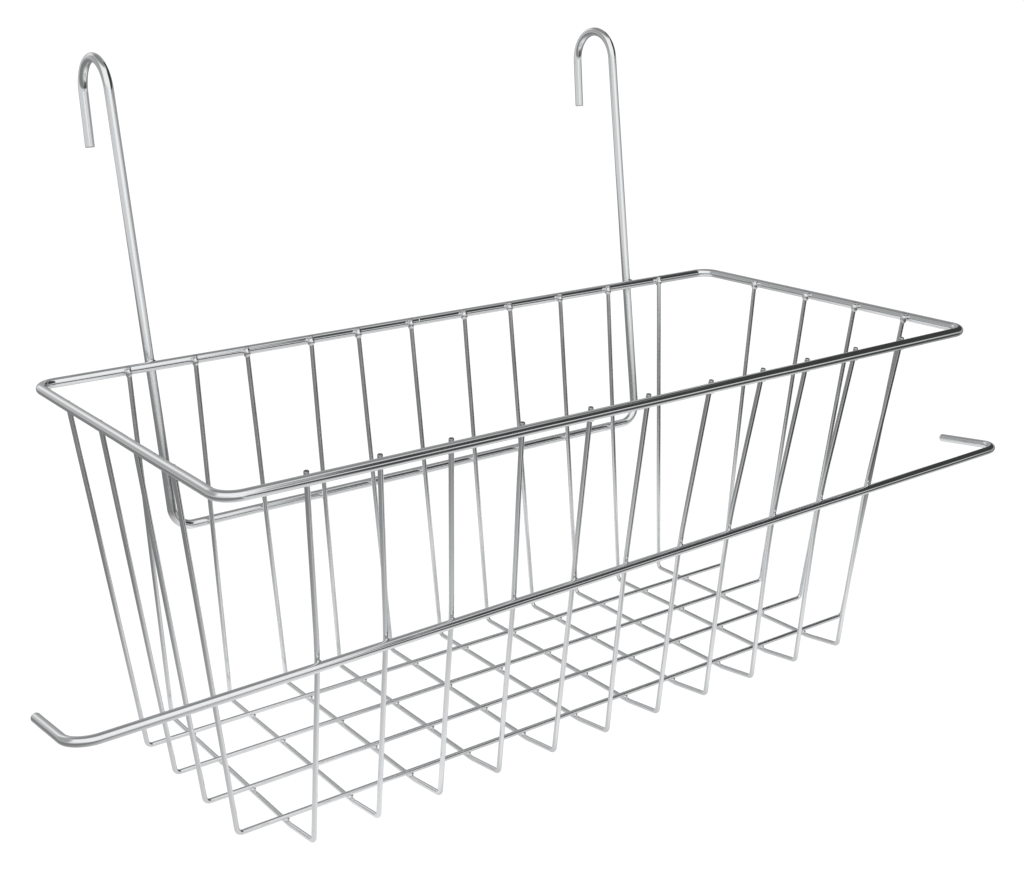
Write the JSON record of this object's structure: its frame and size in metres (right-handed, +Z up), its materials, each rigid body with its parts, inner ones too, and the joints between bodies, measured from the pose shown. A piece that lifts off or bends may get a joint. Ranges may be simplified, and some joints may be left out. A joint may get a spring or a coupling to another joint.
{
  "type": "hanging wire basket",
  "caption": "Chrome wire basket with tapered walls, two hooks that hang it from a cart rail, and a bar across its front for hanging bottles or cloths.",
  "frame": {"origin": "middle of the floor, on the underside of the middle cross wire, where the basket stands on a surface", "axes": "+X along the basket, -Y towards the front with the bar, +Y towards the cart, +Z up"},
  "size_m": [0.577, 0.2737, 0.3508],
  "materials": {
    "frame_chrome": "bright chrome plate on thick drawn steel wire",
    "mesh_chrome": "bright chrome plate on thin drawn steel wire"
  },
  "bodies": {
    "root": {"rim": "frame_chrome", "hanger": "frame_chrome", "front_bar": "frame_chrome", "cross_wire_01": "mesh_chrome", "cross_wire_02": "mesh_chrome", "cross_wire_03": "mesh_chrome", "cross_wire_04": "mesh_chrome", "cross_wire_05": "mesh_chrome", "cross_wire_06": "mesh_chrome", "cross_wire_07": "mesh_chrome", "cross_wire_08": "mesh_chrome", "cross_wire_09": "mesh_chrome", "cross_wire_10": "mesh_chrome", "cross_wire_11": "mesh_chrome", "long_wire_1": "mesh_chrome", "long_wire_2": "mesh_chrome", "long_wire_3": "mesh_chrome", "long_wire_4": "mesh_chrome"}
  },
  "joints": []
}
